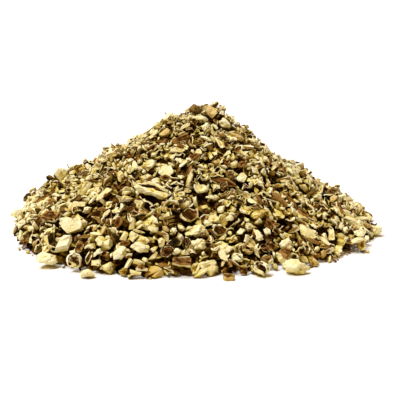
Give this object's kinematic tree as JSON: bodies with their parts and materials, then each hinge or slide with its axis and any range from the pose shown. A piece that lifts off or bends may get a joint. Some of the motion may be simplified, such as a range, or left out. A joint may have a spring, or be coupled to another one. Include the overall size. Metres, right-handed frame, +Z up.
{
  "type": "heap of cut dandelion root",
  "caption": "Conical heap of dried, chopped root: pale pith lumps, brown bark flakes and shells, dark bits and splinters, poured on a flat surface.",
  "frame": {"origin": "middle of the bounding box, on the flat underside that the heap rests on", "axes": "+Z up; +X to the right and +Y away from the picture's viewpoint"},
  "size_m": [0.153, 0.1458, 0.0507],
  "materials": {
    "packed_root": "dry, dull and fibrous: cream pith, tan and brown bark mixed, with near-black gaps",
    "pale_pith": "dry chalky cream pith, faintly fibrous, with brown bark traces at its edges",
    "tan_pith": "dry ochre-tan heart wood, faintly fibrous, dull",
    "brown_bark": "wrinkled brown bark on one face, pale pith at the cut rims, dull",
    "dark_bark": "near-black bark, wrinkled, with a slight dry sheen"
  },
  "bodies": {
    "root": {"packed_heap": "packed_root", "apex_dark_chip": "dark_bark", "apex_tan_cube": "tan_pith", "curved_pale_strip": "pale_pith", "upper_pale_chunk": "pale_pith", "golden_sliver": "tan_pith", "upper_bark_bar": "brown_bark", "upper_pale_bead": "pale_pith", "left_tan_chunk": "tan_pith", "pale_disc": "pale_pith", "bark_plank": "brown_bark", "white_wedge": "pale_pith", "black_chip": "dark_bark", "long_striped_strip": "pale_pith", "right_pale_leaf": "pale_pith", "middle_bark_strip": "brown_bark", "middle_pale_chunk": "pale_pith", "pale_cupped_shell": "pale_pith", "cupped_bark_shell": "brown_bark", "pale_fan": "pale_pith", "small_bark_shell": "brown_bark", "knobbly_pale_lump": "pale_pith", "flower_lump": "pale_pith", "pale_hexagon": "pale_pith", "front_left_pale_lump": "pale_pith", "front_left_pale_egg": "pale_pith", "bark_octagon": "brown_bark", "front_bark_plank": "brown_bark", "almond_chip": "brown_bark", "bark_and_pale_oval": "pale_pith", "right_round_lump": "pale_pith", "marbled_chunk": "brown_bark", "right_curved_shell": "pale_pith", "right_bark_slab": "brown_bark", "dark_knot": "tan_pith", "front_pale_lump": "pale_pith", "pale_ring": "pale_pith", "left_bark_block": "brown_bark", "left_bark_plank": "brown_bark", "left_pale_boulder": "pale_pith", "left_pale_block": "pale_pith", "hollow_shell": "pale_pith", "square_pale_chip": "pale_pith", "right_tan_slab": "pale_pith", "right_bark_flake": "brown_bark", "foot_large_oval": "pale_pith", "foot_bead": "pale_pith", "foot_dome_chip": "pale_pith", "foot_triangle_chip": "tan_pith", "foot_knobbly_lump": "pale_pith", "foot_cored_chip": "pale_pith", "foot_left_wedge": "pale_pith", "foot_front_flake": "tan_pith", "foot_right_lump": "pale_pith", "foot_left_lump": "pale_pith", "back_pale_lump": "pale_pith", "back_bark_flake": "brown_bark", "back_pale_chunk": "pale_pith", "back_bark_splinter": "brown_bark", "back_pale_flake": "pale_pith"}
  },
  "joints": []
}
